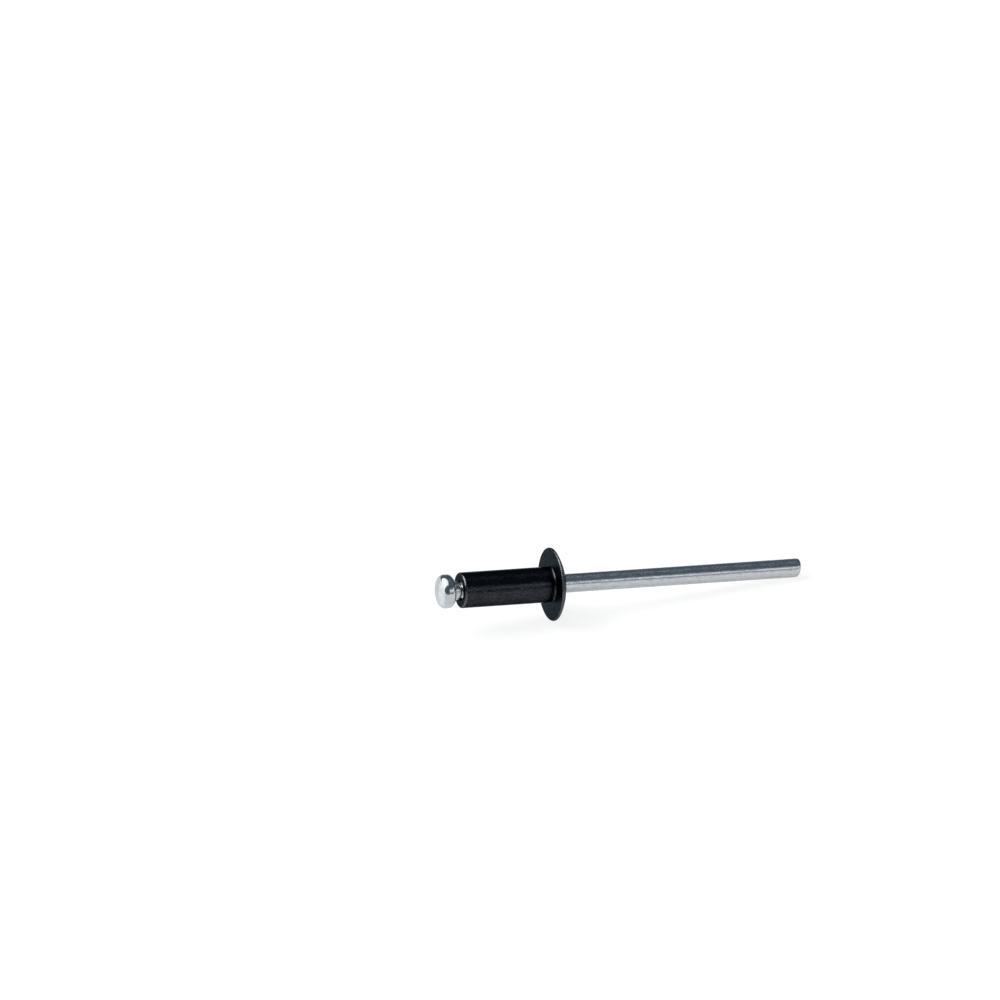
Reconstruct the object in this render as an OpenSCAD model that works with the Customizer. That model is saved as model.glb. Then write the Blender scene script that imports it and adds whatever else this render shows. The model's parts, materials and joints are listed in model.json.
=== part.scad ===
// Open-end blind rivet with a domed flange, as it is before setting: a sleeve headed in one piece with its
// flange, and the headed mandrel that a riveting tool pulls through it until the notch under its head breaks.
// It lies as it comes to rest, on the rim of the flange and the cut end of the mandrel, with +X along it
// towards the cut end, +Z up and z = 0 at the surface it lies on.

/* [Sleeve] */
// Diameter of the sleeve, which is the rivet's nominal size
sleeve_d = 4; // [3.6:0.1:6]
// Length of the sleeve, from the flange's seat to its free end
sleeve_l = 10.7; // [5:0.1:20]
// Rounding of the sleeve's free end
sleeve_end_r = 0.2; // [0.1:0.05:0.4]
// Chamfer of the bore at the sleeve's free end
bore_chamfer = 0.12; // [0.05:0.01:0.2]
// Fillet between the sleeve and the flange's seat
root_r = 0.25; // [0.1:0.05:0.4]

/* [Flange] */
// Diameter of the flange
flange_d = 8.2; // [7.4:0.1:12]
// Thickness of the flange's rim, which is fully rounded
rim_t = 0.3; // [0.2:0.02:0.5]
// Radius of the dome
dome_r = 7.6; // [6.8:0.1:12]
// Width of the funnel round the mandrel, where it opens through the dome
funnel_w = 0.5; // [0.3:0.05:0.7]
// Half angle of the funnel
funnel_angle = 36; // [25:1:50]
// Rounding of the funnel's lip
lip_r = 0.25; // [0.1:0.05:0.35]

/* [Mandrel] */
// Diameter of the mandrel
mandrel_d = 2.1; // [1.6:0.05:2.4]
// Clearance between the mandrel and the bore, all round
bore_gap = 0.04; // [0.02:0.01:0.08]
// Length of mandrel beyond the flange's seat, to the middle of its cut end
tail_l = 29.4; // [24:0.1:45]
// Slant of the cut end, whose shorter side lies down
cut_slant = 13; // [0:1:25]

/* [Mandrel head] */
// How far the head stays inside the sleeve's outline, so that it passes through the same hole
head_inset = 0.1; // [0.05:0.05:0.3]
// Radius of the head's crown
crown_r = 3.6; // [2.6:0.1:6]
// Rounding of the head's edge in front
head_edge_r = 0.65; // [0.5:0.05:0.8]
// Length of the straight band round the head
head_band = 0.35; // [0.05:0.05:0.6]
// Rounding of the head's edge behind
head_back_r = 0.55; // [0.3:0.05:0.7]
// Gap between the head and the sleeve's free end
head_gap = 0.9; // [0.3:0.05:1.5]
// Length of full-size neck between the head and the break notch
neck_l = 0.65; // [0.1:0.05:1]
// Width of the break notch at the mandrel's surface
notch_w = 0.56; // [0.3:0.02:0.8]
// Depth of the break notch
notch_depth = 0.32; // [0.1:0.02:0.4]
// Rounding at the bottom of the break notch
notch_r = 0.1; // [0.05:0.01:0.14]

/* [Hidden] */
$fn = 96;

// The rivet's own axis: 0 at the flange's seat, positive through the flange to the cut end
sleeve_r = sleeve_d / 2;
mandrel_r = mandrel_d / 2;
bore_r = mandrel_r + bore_gap;

// Rim: a full round, on which the dome's arc ends without a corner
rim_r = rim_t / 2;
rim_c = [flange_d / 2 - rim_r, rim_r];
dome_y = rim_c.y - sqrt((dome_r - rim_r) ^ 2 - rim_c.x ^ 2);
rim_way = unit(rim_c - [0, dome_y]);

// Funnel: a cone from the bore to the dome, whose lip is an arc that touches both
funnel_r = mandrel_r + funnel_w;
funnel_top = dome_y + sqrt(dome_r ^ 2 - funnel_r ^ 2);
funnel_h = (funnel_r - bore_r) / tan(funnel_angle);
funnel_way = [sin(funnel_angle), cos(funnel_angle)];
funnel_out = [funnel_way.y, -funnel_way.x];
lip_start = [funnel_r, funnel_top - dome_y] + lip_r * funnel_out;
lip_run = lip_start * funnel_way - sqrt((lip_start * funnel_way) ^ 2 - lip_start * lip_start + (dome_r - lip_r) ^ 2);
lip_c = lip_start - lip_run * funnel_way + [0, dome_y];
lip_way = unit(lip_c - [0, dome_y]);

// Head: crown, front edge, band and back edge meet without a corner, and the back is flat
head_r = sleeve_r - head_inset;
head_back = -sleeve_l - head_gap;
back_c = [head_r - head_back_r, head_back - head_back_r];
edge_c = [head_r - head_edge_r, back_c.y - head_band];
crown_y = edge_c.y + sqrt((crown_r - head_edge_r) ^ 2 - edge_c.x ^ 2);
crown_way = unit(edge_c - [0, crown_y]);
notch_y = head_back + neck_l + notch_w / 2;

// Rest: the rim's round and the lower corner of the cut end touch one plane
cut_step = mandrel_r * tan(cut_slant);
rest_span = [tail_l - cut_step - rim_c.y, rim_c.x - mandrel_r];
rest_tilt = atan2(rest_span.y, rest_span.x) + asin(rim_r / norm(rest_span));
seat_z = (tail_l - cut_step) * sin(rest_tilt) + mandrel_r * cos(rest_tilt);
head_end_x = crown_y * cos(rest_tilt) - crown_r;
cut_end_x = (tail_l + cut_step) * cos(rest_tilt) + mandrel_r * sin(rest_tilt);
seat_x = -(head_end_x + cut_end_x) / 2;

// Turn of the body's seam, so that no corner of the meshed rim stands right below the axis
seam_turn = 2.2;

// Well past everything, for shapes that only trim others
far = 2 * (flange_d + sleeve_l);

function unit(v) = v / norm(v);

// Puts what is turned about its own Z into the rivet's resting place, with its own +X and the seam upwards
module at_rest() {
    translate([seat_x, 0, seat_z])
        rotate([0, 90 + rest_tilt, 0])
            rotate([0, 0, 180])
                children();
}

// Half section of the flange, without its bore
module flange_section() {
    translate(rim_c)
        circle(r = rim_r);
    intersection() {
        translate([0, dome_y])
            circle(r = dome_r);
        polygon([[0, 0], [rim_c.x, 0], rim_c, rim_c + rim_t * rim_way, [rim_c.x, far], [0, far]]);
    }
}

// Half section of the sleeve, without its bore
module sleeve_section() {
    translate([0, sleeve_end_r - sleeve_l])
        square([sleeve_r, sleeve_l - sleeve_end_r + rim_r]);
    translate([0, -sleeve_l])
        square([sleeve_r - sleeve_end_r, sleeve_l]);
    translate([sleeve_r - sleeve_end_r, sleeve_end_r - sleeve_l])
        circle(r = sleeve_end_r);
    difference() {
        translate([0, -root_r])
            square([sleeve_r + root_r, root_r + rim_r]);
        translate([sleeve_r + root_r, -root_r])
            circle(r = root_r);
    }
}

// What the bore, its chamfer and its funnel take out of the section
module bore_section() {
    translate([0, -far])
        square([bore_r, 2 * far]);
    polygon([[0, -sleeve_l - 1], [bore_r + bore_chamfer + 1, -sleeve_l - 1],
             [bore_r, bore_chamfer - sleeve_l], [0, bore_chamfer - sleeve_l]]);
    polygon([[0, funnel_top - funnel_h], [bore_r, funnel_top - funnel_h],
             [bore_r, funnel_top - funnel_h] + far * funnel_way, [0, far]]);
    polygon([lip_c, lip_c - lip_r * funnel_out, [funnel_r, funnel_top] + far * funnel_way,
             lip_c + far * lip_way]);
}

module rivet_body() {
    color([0.05, 0.05, 0.06])
        at_rest()
            rotate([0, 0, seam_turn])
                rotate_extrude()
                    union() {
                        difference() {
                            union() {
                                flange_section();
                                sleeve_section();
                            }
                            bore_section();
                        }
                        translate(lip_c)
                            circle(r = lip_r);
                    }
}

// Half section of the mandrel's head
module head_section() {
    translate([0, edge_c.y])
        square([head_r, head_band]);
    translate([0, back_c.y])
        square([back_c.x, head_back_r]);
    translate(back_c)
        circle(r = head_back_r);
    translate(edge_c)
        circle(r = head_edge_r);
    intersection() {
        translate([0, crown_y])
            circle(r = crown_r);
        polygon([[0, edge_c.y], edge_c, edge_c + head_r * crown_way, [edge_c.x, -far], [0, -far]]);
    }
}

// What the break notch takes out of the section: a V with a rounded bottom
module notch_section() {
    bottom_c = [mandrel_r - notch_depth + notch_r, notch_y];
    reach = mandrel_r - bottom_c.x;
    // The flank touches the round at the bottom and meets the surface at the notch's edge
    flank = acos(notch_r / norm([reach, notch_w / 2])) + atan2(notch_w / 2, reach);
    touch = notch_r * [cos(flank), sin(flank)];
    translate(bottom_c)
        circle(r = notch_r);
    translate(bottom_c)
        polygon([touch, [reach, notch_w / 2], [reach + notch_w, notch_w / 2],
                 [reach + notch_w, -notch_w / 2], [reach, -notch_w / 2], [touch.x, -touch.y]]);
}

module mandrel() {
    color([0.78, 0.8, 0.83])
        at_rest()
            difference() {
                rotate_extrude()
                    difference() {
                        union() {
                            head_section();
                            translate([0, back_c.y])
                                square([mandrel_r, tail_l + cut_step - back_c.y]);
                        }
                        notch_section();
                    }
                translate([0, 0, tail_l])
                    rotate([0, -cut_slant, 0])
                        translate([-mandrel_d, -mandrel_d, 0])
                            cube(2 * mandrel_d);
            }
}

rivet_body();
mandrel();
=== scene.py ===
"""Blind rivet with its finish: the black-coated sleeve and flange and the bright plated mandrel, in place of
the plain solids of the frame, on a plain pale floor under soft studio light.

Lengths are in metres. Each piece is turned upright about Z, as on a lathe, with the flange's seat at the
origin and the cut end up. It is then laid down where the frame's mounts say."""

import json
from math import acos, atan2, cos, degrees, hypot, pi, radians, sin, sqrt, tan, tau

import bmesh
import bpy
from mathutils import Matrix, Vector


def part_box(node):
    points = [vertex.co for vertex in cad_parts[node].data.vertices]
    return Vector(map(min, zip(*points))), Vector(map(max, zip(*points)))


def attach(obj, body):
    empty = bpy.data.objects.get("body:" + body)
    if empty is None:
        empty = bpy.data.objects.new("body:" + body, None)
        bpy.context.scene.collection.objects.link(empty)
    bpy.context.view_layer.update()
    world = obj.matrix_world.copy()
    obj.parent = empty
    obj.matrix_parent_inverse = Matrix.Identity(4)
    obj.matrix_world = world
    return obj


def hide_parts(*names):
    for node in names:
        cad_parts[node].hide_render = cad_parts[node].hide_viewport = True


bl_info = {
    "name": "Blind Rivet",
    "version": (1, 0, 0),
    "blender": (4, 5, 0),
    "location": "View3D > Sidebar > Rivet",
    "description": "Models a blind rivet with a coated body and a plated mandrel",
    "category": "Add Mesh",
}

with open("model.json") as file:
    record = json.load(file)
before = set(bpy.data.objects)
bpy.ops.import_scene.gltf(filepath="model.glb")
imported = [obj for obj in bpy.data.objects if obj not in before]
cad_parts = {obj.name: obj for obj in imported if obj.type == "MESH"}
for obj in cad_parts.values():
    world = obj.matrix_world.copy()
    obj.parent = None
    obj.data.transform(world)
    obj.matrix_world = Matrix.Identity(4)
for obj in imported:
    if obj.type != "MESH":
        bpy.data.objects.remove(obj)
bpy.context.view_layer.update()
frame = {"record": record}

MM = 0.001
MOUNTS = {mount["name"]: mount for mount in frame["record"]["mounts"]}
BODY_LOW, BODY_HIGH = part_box("rivet_body")

# The rivet's own axes at rest: Z towards the cut end, X upwards
SEAT = Vector(MOUNTS["flange_seat"]["pos_m"])
TO_CUT = -Vector(MOUNTS["flange_seat"]["axis"]).normalized()
ACROSS = Vector((0, 1, 0))
UPWARDS = TO_CUT.cross(ACROSS)
AT_REST = Matrix.Translation(SEAT) @ Matrix((UPWARDS, TO_CUT.cross(UPWARDS), TO_CUT)).transposed().to_4x4()

# Steps round a turned piece, and the distance under which two vertices count as one
SPIN_STEPS = 144
MERGE = 0.4e-6
# Widest angle between two faces that still shade as one surface
SMOOTH_ANGLE = radians(35)
# Least cosine from the end's own normal for a face of the cut end, before and after its edge is rounded
CUT_FACE, ROUNDED_CUT_FACE = 0.999, 0.9999

# Sockets of a mix node for numbers and for colours: factor, first, second and result
MIX_NUMBERS = (0, 2, 3, 0)
MIX_COLOURS = (0, 6, 7, 2)

# Distances outside the sleeve's wall at which the flange's own coat starts and is full
FLANGE_COAT_FROM, FLANGE_COAT_FULL = 0.2 * MM, 0.5 * MM
# Half the stretch over which the painted highlight on the sleeve's rounded end fades in
END_FADE = 0.05 * MM
# Depth of the coat's grain on the sleeve, and how many times as deep it is on the flange
GRAIN_DEPTH, FLANGE_GRAIN = 0.022 * MM, 2
# Size and depth of the coat's orange peel
PEEL_SIZE, PEEL_DEPTH = 0.9 * MM, 0.012 * MM
# Size of the coat's patches, and how much smoother and rougher they make it at most
PATCH_SIZE, SMOOTHER, ROUGHER = 1.6 * MM, 0.05, 0.08
# Stretches of a noise over which a look goes from its first state to its second
PIT_SHADE_STRETCH, COAT_TONES, COAT_GLOSS = (0.35, 0.65), (0.4, 0.75), (0.3, 0.7)
ZINC_TONES, ZINC_GLOSS = (0.4, 0.75), (0.4, 0.65)

# Mottle and fine lines of the plating: size across the shank, scale along it, and depth
MOTTLE_SIZE, MOTTLE_ALONG, MOTTLE_DEPTH = 0.35 * MM, 0.4, 0.005 * MM
LINE_SIZE, LINE_ALONG, LINE_DEPTH = 0.07 * MM, 0.02, 0.003 * MM
# Share of the shank's relief on the pressed head, and on how much of head and neck it grows to the whole
HEAD_RELIEF, GROWS_ON_HEAD, GROWS_ON_NECK = 0.2, 0.2 * MM, 0.1 * MM

# Lamps: name, direction from the rivet, then distance, width and height in metres, and radiance
LAMPS = (
    ("left_softbox", (-0.66, 0.28, 0.7), 0.98, 0.75, 0.6, 6.0),
    ("left_card", (-0.533, 0.248, 0.809), 1.0, 1.1, 2.45, 1.25),
    ("front_card", (0.587, -0.699, 0.409), 1.2, 0.95, 0.38, 1.0),
)
# Side of the floor in metres, and its shade and glow as the camera sees it
FLOOR_SIDE, SEEN_SHADE, SEEN_GLOW = 8, 0.2, 0.86
# Shade, roughness and glow of the floor as the metal reflects it
MIRRORED_SHADE, MIRRORED_ROUGHNESS, MIRRORED_GLOW = 0.3, 0.3, 0.57
# Sines of the height up to which the room is white and from which it is dim, and its dim colour
ROOM_WHITE_TO, ROOM_DIM_FROM, ROOM_DIM = 0.06, 0.1, (0.082, 0.108, 0.142)
# Middle of the picture in pixels, sensor's width in millimetres, and the camera's clipping in metres
PICTURE_MIDDLE, SENSOR_WIDTH = 500, 36
CLIP_START, CLIP_END = 0.05, 20


def length(name, millimetres, description):
    """A size that the user may change, in metres and shown in the scene's own unit."""
    return bpy.props.FloatProperty(
        name=name, description=description, default=millimetres * MM, min=0, precision=5, unit="LENGTH"
    )


def share(name, default, description):
    """A plain number from 0 to 1."""
    return bpy.props.FloatProperty(name=name, description=description, default=default, min=0, max=1)


def colour(name, default, description):
    """A surface colour."""
    return bpy.props.FloatVectorProperty(
        name=name, description=description, default=default, size=3, min=0, max=1, subtype="COLOR"
    )


class RivetBodySizes(bpy.types.PropertyGroup):
    """Sizes of the sleeve and its flange."""

    sleeve_d: length("Sleeve diameter", 2 * MOUNTS["sleeve"]["dims"]["r_mm"], "The rivet's nominal size")
    sleeve_l: length("Sleeve length", 10.7, "From the flange's seat to the free end")
    end_r: length("End rounding", 0.2, "Rounding of the sleeve's free end")
    bore_chamfer: length("Bore chamfer", 0.12, "Chamfer of the bore at the free end")
    root_r: length("Root fillet", 0.25, "Fillet between the sleeve and the seat")
    flange_d: length("Flange diameter", (BODY_HIGH.y - BODY_LOW.y) / MM, "Across the rounded rim")
    rim_t: length("Rim thickness", 0.3, "Thickness of the rim, which is fully rounded")
    dome_r: length("Dome radius", 7.6, "Radius of the dome")
    bore_gap: length("Bore gap", 0.04, "Clearance round the mandrel")
    funnel_w: length("Funnel width", 0.5, "Width of the funnel round the mandrel at the dome")
    funnel_angle: bpy.props.FloatProperty(
        name="Funnel angle", description="Half angle of the funnel", default=radians(36), subtype="ANGLE"
    )
    lip_r: length("Lip rounding", 0.25, "Rounding of the funnel's lip")


class RivetMandrelSizes(bpy.types.PropertyGroup):
    """Sizes of the mandrel."""

    mandrel_d: length("Mandrel diameter", 2 * MOUNTS["mandrel_tail"]["dims"]["r_mm"], "Diameter of the shank")
    tail_l: length("Tail length", 29.4, "From the flange's seat to the middle of the cut end")
    cut_slant: bpy.props.FloatProperty(
        name="Cut slant", description="Slant of the cut end", default=radians(13), subtype="ANGLE"
    )
    head_inset: length("Head inset", 0.1, "How far the head stays inside the sleeve's outline")
    crown_r: length("Crown radius", 3.6, "Radius of the head's crown")
    head_edge_r: length("Head edge rounding", 0.65, "Rounding of the head's edge in front")
    head_band: length("Head band", 0.35, "Length of the straight band round the head")
    head_back_r: length("Head back rounding", 0.55, "Rounding of the head's edge behind")
    head_gap: length("Head gap", 0.9, "Gap between the head and the sleeve's free end")
    neck_l: length("Neck length", 0.65, "Length of neck between the head and the notch")
    neck_fillet: length("Neck fillet", 0.08, "Fillet between the head and the neck")
    notch_w: length("Notch width", 0.56, "Width of the break notch")
    notch_depth: length("Notch depth", 0.32, "Depth of the break notch")
    notch_r: length("Notch rounding", 0.1, "Rounding at the bottom of the break notch")
    shear_edge: length("Sheared edge", 0.05, "Rounding of the cut end's edge")
    shear_drop: length("Shear drop", 0.26, "How far the shear drew the end's upper side down")
    shear_reach: length("Shear reach", 0.6, "Length of shank that the shear drew down")
    shear_dish: length("Shear dish", 0.03, "Hollow of the cut face")


class RivetFinish(bpy.types.PropertyGroup):
    """Colours and gloss of the coat and the plating."""

    coat: colour("Coat", (0.042, 0.0455, 0.0525), "Black of the coat")
    coat_thin: colour("Thin coat", (0.061, 0.0645, 0.0725), "Black of the coat where it runs thin")
    # Painted shade: a darker black in the hollows of the coat's grain
    coat_pit_shade: colour("Coat pit shade", (0.010, 0.011, 0.014), "Black in the pits of the coat's grain")
    # Painted highlight: a lighter coat on the rim and the sleeve's rounded end brightens their highlight
    # lines
    coat_edge_highlight: colour("Edge highlight coat", (0.098, 0.102, 0.108), "Coat on the rim and the sleeve's rounded end")
    coat_edge: colour("Coat edge-on", (0.415, 0.438, 0.447), "Tint of the coat's gloss seen edge-on")
    coat_roughness: share("Coat roughness", 0.14, "Roughness of the coat")
    flange_roughness: share("Flange roughness", 0.24, "Roughness of the coat on the flange")
    coat_grain: length("Coat grain", 0.22, "Size of the coat's grain")
    plating: colour("Plating", (0.615, 0.635, 0.648), "Bright zinc on the mandrel")
    plating_dull: colour("Dull plating", (0.47, 0.495, 0.53), "Zinc in the mottled patches")
    plating_roughness: share("Plating roughness", 0.19, "Roughness of the drawn shank")
    plating_rough_spots: share("Plating rough spots", 0.32, "Roughness of the shank in the mottled patches")
    head_roughness: share("Head roughness", 0.17, "Roughness of the pressed head")


class RivetStudio(bpy.types.PropertyGroup):
    """Camera and floor of the plain studio."""

    azimuth: bpy.props.FloatProperty(
        name="Azimuth", description="Turn of the view from +Y", default=radians(-19.39), subtype="ANGLE"
    )
    elevation: bpy.props.FloatProperty(
        name="Elevation",
        description="Camera's height over the horizon",
        default=radians(27.89),
        subtype="ANGLE",
    )
    distance: length("Distance", 2500, "From the camera to the rivet")
    pixel: length("Pixel", 1 / 9.01, "What a pixel of the 1000 pixel picture covers at the rivet")
    seat_pixel: bpy.props.FloatVectorProperty(
        name="Seat pixel",
        description="Where the seat's centre lies in the picture",
        default=(550.1, 584.3),
        size=2,
    )
    floor_white: share("Floor white", 0.8, "Colour of the floor")


def start_afresh():
    """Leaves edit mode and deselects everything, since an operator acts on all that is selected."""
    if bpy.context.object and bpy.context.object.mode != "OBJECT":
        bpy.ops.object.mode_set(mode="OBJECT")
    bpy.ops.object.select_all(action="DESELECT")


def arc(centre, radius, start, end, steps):
    """Points of an arc in a half section, from one angle in degrees to another, both ends included."""
    angles = [radians(start + (end - start) * i / steps) for i in range(steps + 1)]
    return [(centre[0] + radius * cos(a), centre[1] + radius * sin(a)) for a in angles]


def angle_of(x, y):
    """Direction of a vector in a half section, in degrees."""
    return degrees(atan2(y, x))


def body_outline(size, mandrel_r):
    """Closed half section of the body, from the bore's mouth outwards and back down the bore."""
    sleeve_r = size.sleeve_d / 2
    bore_r = mandrel_r + size.bore_gap
    rim_r = size.rim_t / 2
    rim_c = (size.flange_d / 2 - rim_r, rim_r)
    dome_y = rim_c[1] - sqrt((size.dome_r - rim_r) ** 2 - rim_c[0] ** 2)
    rim_angle = angle_of(rim_c[0], rim_c[1] - dome_y)
    # The funnel is a cone, and its lip an arc that touches cone and dome
    funnel_r = mandrel_r + size.funnel_w
    funnel_top = dome_y + sqrt(size.dome_r ** 2 - funnel_r ** 2)
    cone = Vector((sin(size.funnel_angle), cos(size.funnel_angle)))
    into_wall = Vector((cone.y, -cone.x))
    start = Vector((funnel_r, funnel_top - dome_y)) + size.lip_r * into_wall
    run = start.dot(cone) - sqrt(start.dot(cone) ** 2 - start.dot(start) + (size.dome_r - size.lip_r) ** 2)
    lip_c = start - run * cone + Vector((0, dome_y))
    lip_angle = angle_of(lip_c.x, lip_c.y - dome_y)
    funnel_foot = funnel_top - (funnel_r - bore_r) / tan(size.funnel_angle)
    mouth = (bore_r, size.bore_chamfer - size.sleeve_l)
    return [
        mouth,
        (bore_r + size.bore_chamfer, -size.sleeve_l),
        *arc((sleeve_r - size.end_r, size.end_r - size.sleeve_l), size.end_r, -90, 0, steps=12),
        *arc((sleeve_r + size.root_r, -size.root_r), size.root_r, 180, 90, steps=12),
        *arc(rim_c, rim_r, -90, rim_angle, steps=18),
        *arc((0, dome_y), size.dome_r, rim_angle, lip_angle, steps=24)[1:],
        *arc(lip_c, size.lip_r, lip_angle, 180 - degrees(size.funnel_angle), steps=12)[1:],
        (bore_r, funnel_foot),
        mouth,
    ]


def mandrel_outline(size, sleeve_r, sleeve_l):
    """Half section of the mandrel, from the crown's middle to a little past the cut end."""
    mandrel_r = size.mandrel_d / 2
    head_r = sleeve_r - size.head_inset
    head_back = -sleeve_l - size.head_gap
    back_c = (head_r - size.head_back_r, head_back - size.head_back_r)
    edge_c = (head_r - size.head_edge_r, back_c[1] - size.head_band)
    crown_y = edge_c[1] + sqrt((size.crown_r - size.head_edge_r) ** 2 - edge_c[0] ** 2)
    crown_angle = angle_of(edge_c[0], edge_c[1] - crown_y)
    fillet = size.neck_fillet
    notch_y = head_back + size.neck_l + size.notch_w / 2
    bottom_c = (mandrel_r - size.notch_depth + size.notch_r, notch_y)
    reach = mandrel_r - bottom_c[0]
    half_w = size.notch_w / 2
    flank = degrees(acos(size.notch_r / hypot(reach, half_w)) + atan2(half_w, reach))
    return [
        *arc((0, crown_y), size.crown_r, -90, crown_angle, steps=20),
        *arc(edge_c, size.head_edge_r, crown_angle, 0, steps=16)[1:],
        *arc(back_c, size.head_back_r, 0, 90, steps=16),
        *arc((mandrel_r + fillet, head_back + fillet), fillet, 270, 180, steps=6),
        (mandrel_r, notch_y - half_w),
        *arc(bottom_c, size.notch_r, 360 - flank, flank, steps=10),
        (mandrel_r, notch_y + half_w),
        (mandrel_r, size.tail_l + size.mandrel_d),
    ]


def turned(name, outline):
    """A piece turned on a lathe: a point is drawn out along the half section and the line is spun about Z."""
    start_afresh()
    bpy.ops.mesh.primitive_plane_add(size=MM)
    piece = bpy.context.object
    piece.name = piece.data.name = name
    bpy.ops.object.mode_set(mode="EDIT")
    bpy.ops.mesh.select_mode(type="VERT")
    bpy.ops.mesh.select_all(action="SELECT")
    bpy.ops.mesh.merge(type="CENTER")
    points = [Vector((r, 0, y)) for r, y in outline]
    bpy.ops.transform.translate(value=points[0])
    for before, after in zip(points, points[1:]):
        bpy.ops.mesh.extrude_region_move(TRANSFORM_OT_translate={"value": after - before})
    bpy.ops.mesh.select_all(action="SELECT")
    bpy.ops.mesh.spin(steps=SPIN_STEPS, angle=tau, center=(0, 0, 0), axis=(0, 0, 1))
    bpy.ops.mesh.select_all(action="SELECT")
    bpy.ops.mesh.remove_doubles(threshold=MERGE)
    bpy.ops.mesh.normals_make_consistent(inside=False)
    bpy.ops.object.mode_set(mode="OBJECT")
    return piece


def select_vertices(piece, wanted):
    """In edit mode, selects the vertices whose place passes the test, and no others."""
    mesh = bmesh.from_edit_mesh(piece.data)
    bpy.ops.mesh.select_mode(type="VERT")
    bpy.ops.mesh.select_all(action="DESELECT")
    for vertex in mesh.verts:
        vertex.select_set(wanted(vertex.co))
    mesh.select_flush(True)
    bmesh.update_edit_mesh(piece.data)


def select_faces(piece, wanted):
    """In edit mode, selects the faces whose middle and normal pass the test, and no others."""
    mesh = bmesh.from_edit_mesh(piece.data)
    bpy.ops.mesh.select_mode(type="FACE")
    bpy.ops.mesh.select_all(action="DESELECT")
    for face in mesh.faces:
        face.select_set(wanted(face.calc_center_median(), face.normal))
    bmesh.update_edit_mesh(piece.data)


def shear_off(piece, size):
    """Cuts the tail off at a slant and gives the end what a shear leaves: an upper side drawn down, a rounded
    edge and a hollow face."""
    normal = Vector((-sin(size.cut_slant), 0, cos(size.cut_slant)))
    middle = Vector((0, 0, size.tail_l))
    lowest = Vector((-size.mandrel_d / 2, 0, size.tail_l - size.mandrel_d / 2 * tan(size.cut_slant)))
    bpy.context.view_layer.objects.active = piece
    bpy.ops.object.mode_set(mode="EDIT")
    bpy.ops.mesh.select_all(action="SELECT")
    bpy.ops.mesh.bisect(plane_co=middle, plane_no=normal, use_fill=True, clear_outer=True)
    steps = 8
    drops = [size.shear_drop * (1 - sqrt(1 - (i / steps) ** 2)) for i in range(steps + 1)]
    for i in range(steps):
        # Everything past a cross cut is drawn down a little further, about the lowest point of the end
        at = middle - normal * size.shear_reach * (1 - i / steps)
        bpy.ops.mesh.select_all(action="SELECT")
        bpy.ops.mesh.bisect(plane_co=at, plane_no=normal)
        select_vertices(piece, lambda co: (co - at).dot(normal) > MERGE)
        shrink = (size.mandrel_d - drops[i + 1]) / (size.mandrel_d - drops[i])
        bpy.ops.transform.resize(value=(shrink, shrink, 1), center_override=lowest)
    # The end is lower now, and so its face is steeper than the cut was
    end_d = size.mandrel_d - size.shear_drop
    cut_way = Vector((-tan(size.cut_slant) * size.mandrel_d / end_d, 0, 1)).normalized()
    select_faces(piece, lambda spot, way: way.dot(cut_way) > CUT_FACE and spot.z > lowest.z)
    bpy.ops.mesh.region_to_loop()
    bpy.ops.mesh.bevel(offset=size.shear_edge, segments=4, affect="EDGES")
    select_faces(piece, lambda spot, way: way.dot(cut_way) > ROUNDED_CUT_FACE and spot.z > lowest.z)
    rings = 9
    ring_w = (end_d / 2 - size.shear_edge) / (rings + 1)
    for i in range(rings):
        # The hollow falls away from the edge along a cosine
        fall = size.shear_dish * (cos(pi * i / rings) - cos(pi * (i + 1) / rings)) / 2
        bpy.ops.mesh.inset(thickness=ring_w, depth=-fall)
    bpy.ops.mesh.poke()
    bpy.ops.object.mode_set(mode="OBJECT")


def smooth(piece):
    """Smooth shading that keeps true edges and lets the broad faces rule the normals."""
    start_afresh()
    piece.select_set(True)
    bpy.context.view_layer.objects.active = piece
    bpy.ops.object.shade_smooth_by_angle(angle=SMOOTH_ANGLE)
    bpy.ops.object.modifier_add(type="WEIGHTED_NORMAL")
    piece.modifiers[-1].keep_sharp = True
    bpy.ops.object.modifier_apply(modifier=piece.modifiers[-1].name)


def lay_down(piece):
    """Brings an upright piece to where the rivet lies, and puts the place into the mesh."""
    start_afresh()
    piece.matrix_world = AT_REST
    piece.select_set(True)
    bpy.context.view_layer.objects.active = piece
    bpy.ops.object.transform_apply(location=True, rotation=True, scale=True)


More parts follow.
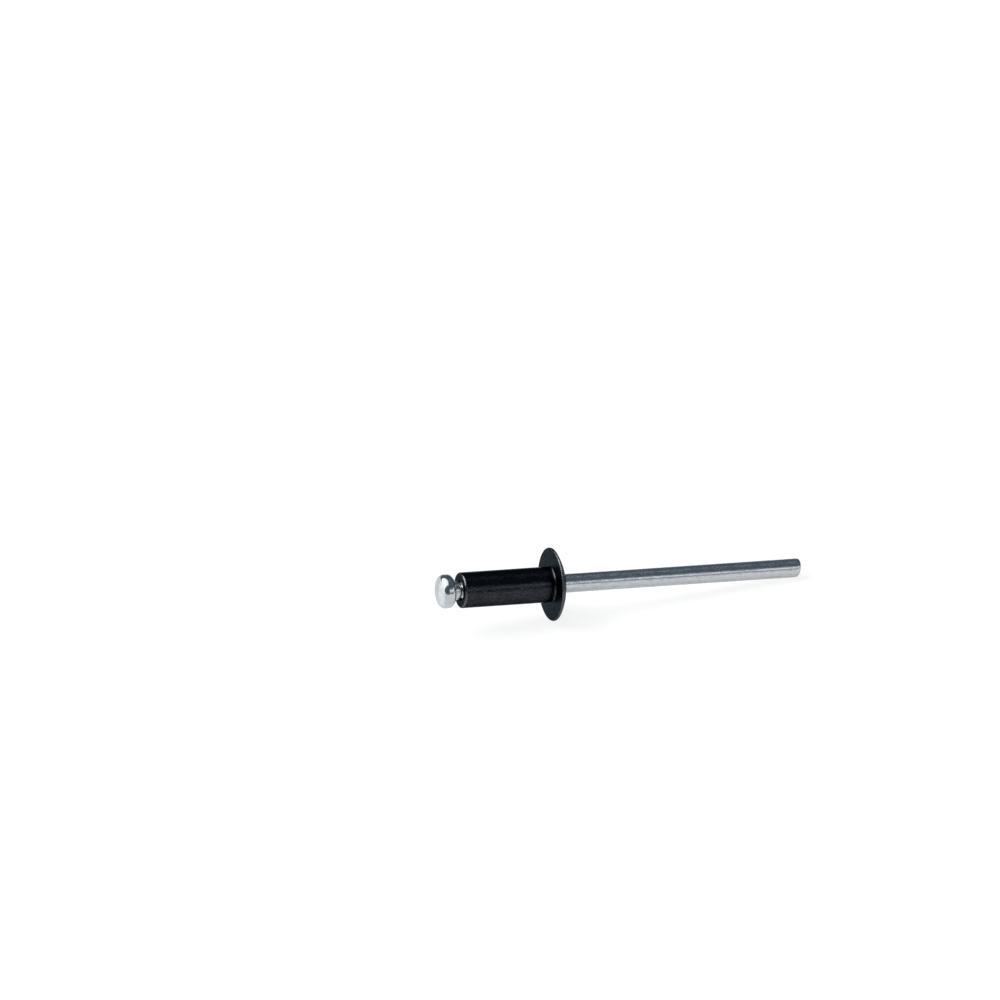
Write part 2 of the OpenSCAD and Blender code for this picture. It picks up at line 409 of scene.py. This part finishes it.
class Nodes:
    """A material's nodes, made and joined in few words."""

    def __init__(self, name):
        self.material = bpy.data.materials.new(name)
        self.material.use_nodes = True
        self.tree = self.material.node_tree
        self.shader = self.tree.nodes["Principled BSDF"]
        where = self.add("ShaderNodeTexCoord").outputs["Object"]
        turn = self.add("ShaderNodeMapping", Vector=where, Location=SEAT, Rotation=AT_REST.to_euler())
        turn.vector_type = "TEXTURE"
        # Coordinates of the rivet's own axes, Z towards the cut end
        self.own = turn.outputs["Vector"]

    def add(self, kind, **inputs):
        """A new node, with sockets joined or set by name."""
        node = self.tree.nodes.new(kind)
        for name, value in inputs.items():
            self.put(node.inputs[name.replace("_", " ")], value)
        return node

    def put(self, socket, value):
        """Joins a socket to another's output, or sets it to a plain value."""
        if isinstance(value, bpy.types.NodeSocket):
            self.tree.links.new(value, socket)
        else:
            socket.default_value = value

    def stretched(self, along):
        """Own coordinates, drawn out along the axis."""
        node = self.add("ShaderNodeMapping", Vector=self.own, Scale=(1, 1, along))
        return node.outputs["Vector"]

    def off_axis(self):
        """Distance from the rivet's axis."""
        node = self.add("ShaderNodeVectorMath")
        node.operation = "LENGTH"
        self.put(node.inputs[0], self.stretched(0))
        return node.outputs["Value"]

    def along_axis(self):
        """Height over the flange's seat, towards the cut end."""
        return self.add("ShaderNodeSeparateXYZ", Vector=self.own).outputs["Z"]

    def worked_out(self, operation, first, second):
        """What a maths operation makes of two numbers."""
        node = self.add("ShaderNodeMath")
        node.operation = operation
        self.put(node.inputs[0], first)
        self.put(node.inputs[1], second)
        return node.outputs[0]

    def times(self, first, second):
        """Product of two numbers."""
        return self.worked_out("MULTIPLY", first, second)

    def plus(self, first, second):
        """Sum of two numbers."""
        return self.worked_out("ADD", first, second)

    def noise(self, size, detail=2.0, where=None, roughness=0.5):
        """Noise from 0 to 1 whose features have about the given size in metres."""
        node = self.add(
            "ShaderNodeTexNoise",
            Vector=where or self.own,
            Scale=1 / size,
            Detail=detail,
            Roughness=roughness,
        )
        return node.outputs["Fac"]

    def remap(self, value, low, high, start=0.0, end=1.0):
        """The value's stretch from start to end, brought to low and high."""
        node = self.add(
            "ShaderNodeMapRange", Value=value, From_Min=start, From_Max=end, To_Min=low, To_Max=high
        )
        return node.outputs["Result"]

    def mixed(self, data_type, sockets, *values):
        """What lies between two values of one type, by the factor: factor, first and second."""
        node = self.add("ShaderNodeMix")
        node.data_type = data_type
        for index, value in zip(sockets, values):
            self.put(node.inputs[index], value)
        return node.outputs[sockets[-1]]

    def blend(self, factor, first, second):
        """A colour between two, by the factor."""
        return self.mixed("RGBA", MIX_COLOURS, factor, first, second)

    def between(self, factor, first, second):
        """A number between two, by the factor."""
        return self.mixed("FLOAT", MIX_NUMBERS, factor, first, second)

    def bump(self, height, depth, under=None):
        """A bumped normal, with the depth in metres, over another if one is given."""
        node = self.add("ShaderNodeBump", Height=height, Distance=depth, Strength=1.0)
        if under:
            self.put(node.inputs["Normal"], under)
        return node.outputs["Normal"]

    def finish(self, **sockets):
        """Joins or sets the shader's sockets by name, and gives the material."""
        for name, value in sockets.items():
            self.put(self.shader.inputs[name.replace("_", " ")], value)
        return self.material


def rgba(three):
    """A colour as a socket takes it, opaque."""
    return (*three, 1.0)


def black_coat(finish, size):
    """Thin black coat with a fine grain over a slow orange peel, duller and coarser on the flange, with
    painted shade in the grain's hollows and a painted highlight, a lighter colour, on the rim and the
    sleeve's rounded end."""
    n = Nodes("black_coat")
    sleeve_r, flange_r = size.sleeve_d / 2, size.flange_d / 2
    radius = n.off_axis()
    flange = n.remap(radius, 0, 1, sleeve_r + FLANGE_COAT_FROM, sleeve_r + FLANGE_COAT_FULL)
    # Mask of the rim and the sleeve's rounded end, where a lighter colour paints a highlight line
    rim = n.remap(radius, 0, 1, flange_r - size.rim_t / 2, flange_r - size.rim_t / 4)
    rounding_top = size.end_r - size.sleeve_l
    near_end = n.remap(n.along_axis(), 1, 0, rounding_top - END_FADE, rounding_top + END_FADE)
    outer = n.remap(radius, 0, 1, sleeve_r - size.end_r, sleeve_r - size.end_r / 2)
    edges = n.plus(rim, n.times(near_end, outer))
    grain = n.noise(finish.coat_grain, detail=3.0, roughness=0.7)
    peel = n.noise(PEEL_SIZE, detail=1.0)
    patches = n.noise(PATCH_SIZE, detail=4.0)
    tone = n.blend(n.remap(patches, 0, 1, *COAT_TONES), rgba(finish.coat), rgba(finish.coat_thin))
    # Painted shade: the coat is darker where its grain is low, in the hollows of the bump, which also
    # speckles the highlights
    pit_shaded = n.blend(n.remap(grain, 0, 1, *PIT_SHADE_STRETCH), rgba(finish.coat_pit_shade), tone)
    plain = finish.coat_roughness
    gloss = n.remap(patches, plain - SMOOTHER, plain + ROUGHER, *COAT_GLOSS)
    relief = n.times(grain, n.remap(flange, 1, FLANGE_GRAIN))
    return n.finish(
        # Painted highlight: the colour is lighter on the rim and the sleeve's rounded end
        Base_Color=n.blend(edges, pit_shaded, rgba(finish.coat_edge_highlight)),
        Roughness=n.plus(gloss, n.times(flange, finish.flange_roughness - plain)),
        Normal=n.bump(relief, GRAIN_DEPTH, n.bump(peel, PEEL_DEPTH)),
        Metallic=1.0,
        Specular_Tint=rgba(finish.coat_edge),
    )


def bright_plating(finish, head_end):
    """Bright zinc: mottled, with fine lines along the drawn shank and a smoother pressed head."""
    n = Nodes("bright_plating")
    on_shank = n.remap(n.along_axis(), HEAD_RELIEF, 1, head_end - GROWS_ON_HEAD, head_end + GROWS_ON_NECK)
    mottle = n.noise(MOTTLE_SIZE, detail=4.0, where=n.stretched(MOTTLE_ALONG), roughness=0.7)
    lines = n.noise(LINE_SIZE, detail=4.0, where=n.stretched(LINE_ALONG), roughness=0.7)
    shank_roughness = n.remap(mottle, finish.plating_roughness, finish.plating_rough_spots, *ZINC_GLOSS)
    mottled = n.bump(n.times(mottle, on_shank), MOTTLE_DEPTH)
    dullness = n.remap(mottle, 0, 1, *ZINC_TONES)
    return n.finish(
        Base_Color=n.blend(dullness, rgba(finish.plating), rgba(finish.plating_dull)),
        Roughness=n.between(on_shank, finish.head_roughness, shank_roughness),
        Metallic=1.0,
        Normal=n.bump(n.times(lines, on_shank), LINE_DEPTH, mottled),
    )


class RIVET_OT_coated_body(bpy.types.Operator):
    """Turn the sleeve with its domed flange and coat it black"""

    bl_idname = "rivet.coated_body"
    bl_label = "Coated Body"

    def execute(self, context):
        scene = context.scene
        mandrel_r = scene.rivet_mandrel.mandrel_d / 2
        piece = turned("coated_body", body_outline(scene.rivet_body, mandrel_r))
        smooth(piece)
        lay_down(piece)
        piece.data.materials.append(black_coat(scene.rivet_finish, scene.rivet_body))
        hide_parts("rivet_body")
        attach(piece, "root")
        return {"FINISHED"}


class RIVET_OT_plated_mandrel(bpy.types.Operator):
    """Turn the headed mandrel, shear its tail and plate it"""

    bl_idname = "rivet.plated_mandrel"
    bl_label = "Plated Mandrel"

    def execute(self, context):
        scene = context.scene
        size = scene.rivet_mandrel
        body = scene.rivet_body
        piece = turned("plated_mandrel", mandrel_outline(size, body.sleeve_d / 2, body.sleeve_l))
        shear_off(piece, size)
        smooth(piece)
        lay_down(piece)
        head_back = -body.sleeve_l - size.head_gap
        piece.data.materials.append(bright_plating(scene.rivet_finish, head_back))
        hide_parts("mandrel")
        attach(piece, "root")
        return {"FINISHED"}


def floor_material(white):
    """Pale floor with the rivet's shadow: plain for the light, nearly white to the camera, satin in metal."""
    material = bpy.data.materials.new("pale_floor")
    material.use_nodes = True
    nodes, links = material.node_tree.nodes, material.node_tree.links
    nodes.clear()
    path = nodes.new("ShaderNodeLightPath")

    def lit(shade):
        """A dull grey that shows only the light on it."""
        dull = nodes.new("ShaderNodeBsdfDiffuse")
        dull.inputs["Color"].default_value = (shade, shade, shade, 1)
        return dull.outputs[0]

    def ground(shade, glow):
        """A floor that is part lit and part glowing, so that a shadow takes only the lit part away."""
        shine = nodes.new("ShaderNodeEmission")
        shine.inputs["Strength"].default_value = glow
        both = nodes.new("ShaderNodeAddShader")
        links.new(lit(shade), both.inputs[0])
        links.new(shine.outputs[0], both.inputs[1])
        return both.outputs[0]

    def either(ray, first, second):
        """The second shader where the ray is of the given kind, else the first."""
        mix = nodes.new("ShaderNodeMixShader")
        links.new(path.outputs[ray], mix.inputs["Fac"])
        links.new(first, mix.inputs[1])
        links.new(second, mix.inputs[2])
        return mix.outputs[0]

    satin = nodes.new("ShaderNodeBsdfPrincipled")
    satin.inputs["Base Color"].default_value = (MIRRORED_SHADE, MIRRORED_SHADE, MIRRORED_SHADE, 1)
    satin.inputs["Roughness"].default_value = MIRRORED_ROUGHNESS
    satin.inputs["Emission Color"].default_value = (1, 1, 1, 1)
    satin.inputs["Emission Strength"].default_value = MIRRORED_GLOW
    seen = ground(SEEN_SHADE, SEEN_GLOW)
    look = either("Is Glossy Ray", lit(white), satin.outputs[0])
    look = either("Is Transmission Ray", look, seen)
    look = either("Is Camera Ray", look, seen)
    out = nodes.new("ShaderNodeOutputMaterial")
    links.new(look, out.inputs["Surface"])
    return material


def studio_world():
    """A dim room, pale as the floor where it meets it."""
    world = bpy.data.worlds.new("studio")
    world.use_nodes = True
    bpy.context.scene.world = world
    nodes, links = world.node_tree.nodes, world.node_tree.links
    where = nodes.new("ShaderNodeTexCoord")
    split = nodes.new("ShaderNodeSeparateXYZ")
    ramp = nodes.new("ShaderNodeValToRGB")
    links.new(where.outputs["Generated"], split.inputs[0])
    links.new(split.outputs["Z"], ramp.inputs["Fac"])
    stops = ramp.color_ramp.elements
    stops[0].position = ROOM_WHITE_TO
    stops[0].color = (1, 1, 1, 1)
    stops[1].position = ROOM_DIM_FROM
    stops[1].color = rgba(ROOM_DIM)
    background = nodes["Background"]
    links.new(ramp.outputs["Color"], background.inputs["Color"])
    background.inputs["Strength"].default_value = 1.0


def softbox(name, towards, distance, wide, high, radiance):
    """A rectangular lamp of one radiance that faces the rivet from the given direction."""
    data = bpy.data.lights.new(name, "AREA")
    data.shape = "RECTANGLE"
    data.size, data.size_y = wide, high
    data.energy = radiance * pi * wide * high
    lamp = bpy.data.objects.new(name, data)
    bpy.context.scene.collection.objects.link(lamp)
    towards = Vector(towards).normalized()
    lamp.location = SEAT + towards * distance
    lamp.rotation_euler = towards.to_track_quat("Z", "Y").to_euler()


def place_camera(studio):
    """A long lens that shows the seat's centre at its pixel."""
    a, e = studio.azimuth, studio.elevation
    back = Vector((sin(a) * cos(e), -cos(a) * cos(e), sin(e)))
    right = Vector((cos(a), sin(a), 0))
    up = back.cross(right)
    aside = (PICTURE_MIDDLE - studio.seat_pixel[0]) * studio.pixel
    above = (studio.seat_pixel[1] - PICTURE_MIDDLE) * studio.pixel
    data = bpy.data.cameras.new("camera")
    camera = bpy.data.objects.new("camera", data)
    bpy.context.scene.collection.objects.link(camera)
    camera.location = SEAT + right * aside + up * above + back * studio.distance
    camera.rotation_euler = back.to_track_quat("Z", "Y").to_euler()
    data.sensor_width = SENSOR_WIDTH
    data.lens = data.sensor_width * studio.distance / (2 * PICTURE_MIDDLE * studio.pixel)
    data.clip_start, data.clip_end = CLIP_START, CLIP_END
    bpy.context.scene.camera = camera


class RIVET_OT_studio(bpy.types.Operator):
    """Set out the floor, the lamps and the camera"""

    bl_idname = "rivet.studio"
    bl_label = "Studio"

    def execute(self, context):
        studio = context.scene.rivet_studio
        start_afresh()
        bpy.ops.mesh.primitive_plane_add(size=FLOOR_SIDE)
        floor = context.object
        floor.name = "floor"
        floor.data.materials.append(floor_material(studio.floor_white))
        studio_world()
        for lamp in LAMPS:
            softbox(*lamp)
        place_camera(studio)
        context.scene.view_settings.view_transform = "Standard"
        return {"FINISHED"}


class RIVET_PT_panel(bpy.types.Panel):
    """The rivet's pieces and their sizes"""

    bl_label = "Blind Rivet"
    bl_idname = "RIVET_PT_panel"
    bl_space_type = "VIEW_3D"
    bl_region_type = "UI"
    bl_category = "Rivet"

    def draw(self, context):
        for operator in OPERATORS:
            self.layout.operator(operator.bl_idname)
        for group in GROUPS:
            box = self.layout.box()
            box.label(text=group)
            settings = getattr(context.scene, group)
            for name in settings.__annotations__:
                box.prop(settings, name)


GROUPS = {
    "rivet_body": RivetBodySizes,
    "rivet_mandrel": RivetMandrelSizes,
    "rivet_finish": RivetFinish,
    "rivet_studio": RivetStudio,
}
OPERATORS = (RIVET_OT_coated_body, RIVET_OT_plated_mandrel, RIVET_OT_studio)


def register():
    """Makes the settings, the operators and the panel known to Blender."""
    for kind in (*GROUPS.values(), *OPERATORS, RIVET_PT_panel):
        bpy.utils.register_class(kind)
    for name, kind in GROUPS.items():
        setattr(bpy.types.Scene, name, bpy.props.PointerProperty(type=kind))


def unregister():
    """Takes away what register brought."""
    for name in GROUPS:
        delattr(bpy.types.Scene, name)
    for kind in (RIVET_PT_panel, *reversed(OPERATORS), *reversed(GROUPS.values())):
        bpy.utils.unregister_class(kind)


def main():
    """Builds the pieces and the studio."""
    register()
    bpy.ops.rivet.coated_body()
    bpy.ops.rivet.plated_mandrel()
    bpy.ops.rivet.studio()


if __name__ == "__main__":
    main()
